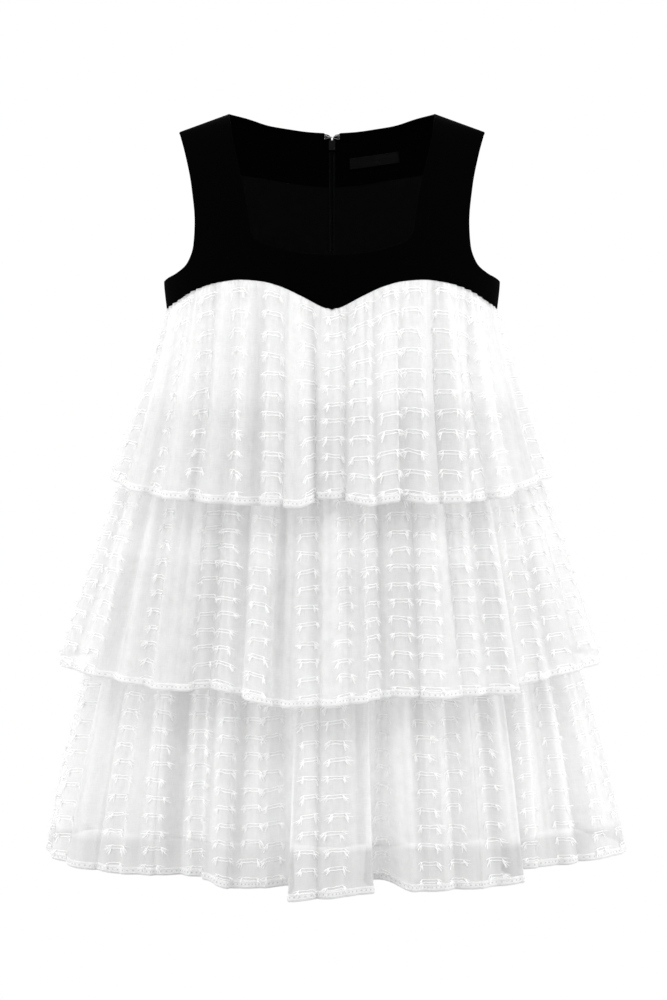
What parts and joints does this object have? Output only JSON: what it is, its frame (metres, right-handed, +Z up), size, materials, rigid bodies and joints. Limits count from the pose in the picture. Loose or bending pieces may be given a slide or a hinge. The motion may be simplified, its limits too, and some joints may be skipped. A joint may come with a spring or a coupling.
{
  "type": "tiered dress",
  "caption": "Sleeveless mini dress with a plain dark bodice, sweetheart yoke seam, back zip, slip lining and gathered sheer tiers, filled out and hollow.",
  "frame": {"origin": "midway between the shoulder seams, at the inside of the shoulders, where the wearer carries the dress", "axes": "+Z up towards the shoulders, front of the dress towards -Y, +X to the right of a viewer who faces the front"},
  "size_m": [0.63, 0.4527, 0.8007],
  "materials": {
    "black_crepe": "matt black crepe, pressed seams",
    "black_facing": "matt black self facing",
    "black_satin": "soft satin lining, faint sheen",
    "black_ribbon": "woven ribbon, blank",
    "black_nylon": "fine nylon coil zip",
    "dark_metal": "black enamelled zip slider and pull",
    "white_slip": "opaque white slip cloth, smooth",
    "white_organza": "sheer white organza with clipped floating yarns"
  },
  "bodies": {
    "garment": {"bodice_front": "black_crepe", "bodice_back_left": "black_crepe", "bodice_back_right": "black_crepe", "back_facing_left": "black_facing", "back_facing_right": "black_facing", "back_lining_left": "black_satin", "back_lining_right": "black_satin", "neck_label": "black_ribbon", "zip_chain": "black_nylon", "zip_slider": "dark_metal", "slip_front": "white_slip", "slip_back": "white_slip", "tier_top_front": "white_organza", "tier_top_back": "white_organza", "tier_middle_front": "white_organza", "tier_middle_back": "white_organza", "tier_bottom_front": "white_organza", "tier_bottom_back": "white_organza"},
    "pull_tab": {"zip_pull": "dark_metal"}
  },
  "joints": [
    {"name": "pull_tab_hinge", "type": "hinge", "parent": "garment", "child": "pull_tab", "pos_m": [0, 0.06247, -0.02366], "axis": [1, 0, 0], "range_deg": [0, 150]}
  ]
}
